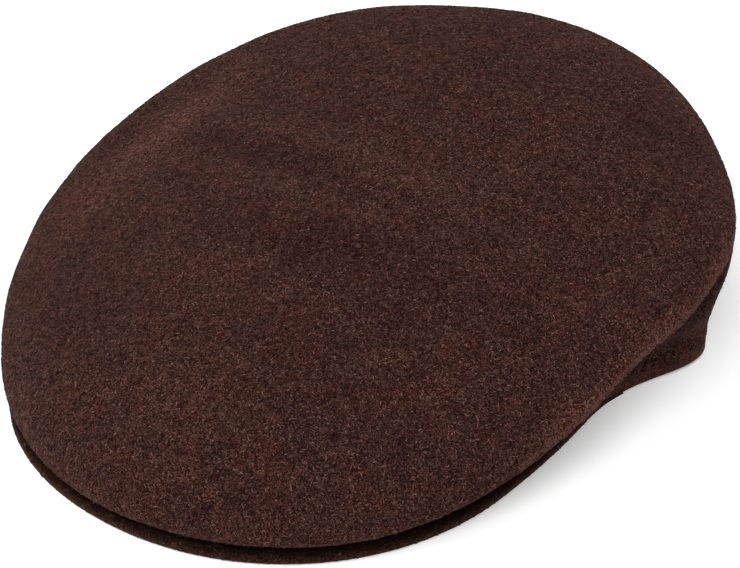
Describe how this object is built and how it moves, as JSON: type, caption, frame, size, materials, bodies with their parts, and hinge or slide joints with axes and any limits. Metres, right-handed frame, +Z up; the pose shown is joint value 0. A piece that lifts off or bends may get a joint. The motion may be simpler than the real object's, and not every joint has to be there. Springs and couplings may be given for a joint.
{
  "type": "flat cap",
  "caption": "flat cap of brown wool felt: a domed crown that overhangs its own wall, a folded edge, an open hollow for the head and a short flat peak under the front",
  "frame": {"origin": "on the table under the middle of the cap's box", "axes": "+Z is up from the table, the peak points to -Y, and +X is the wearer's left"},
  "size_m": [0.242, 0.2778, 0.0781],
  "materials": {
    "crown_felt": "heathered dark brown wool felt with a short nap",
    "peak_felt": "dark brown wool felt, a little darker than the crown"
  },
  "bodies": {
    "root": {"crown": "crown_felt", "peak": "peak_felt"}
  },
  "joints": []
}
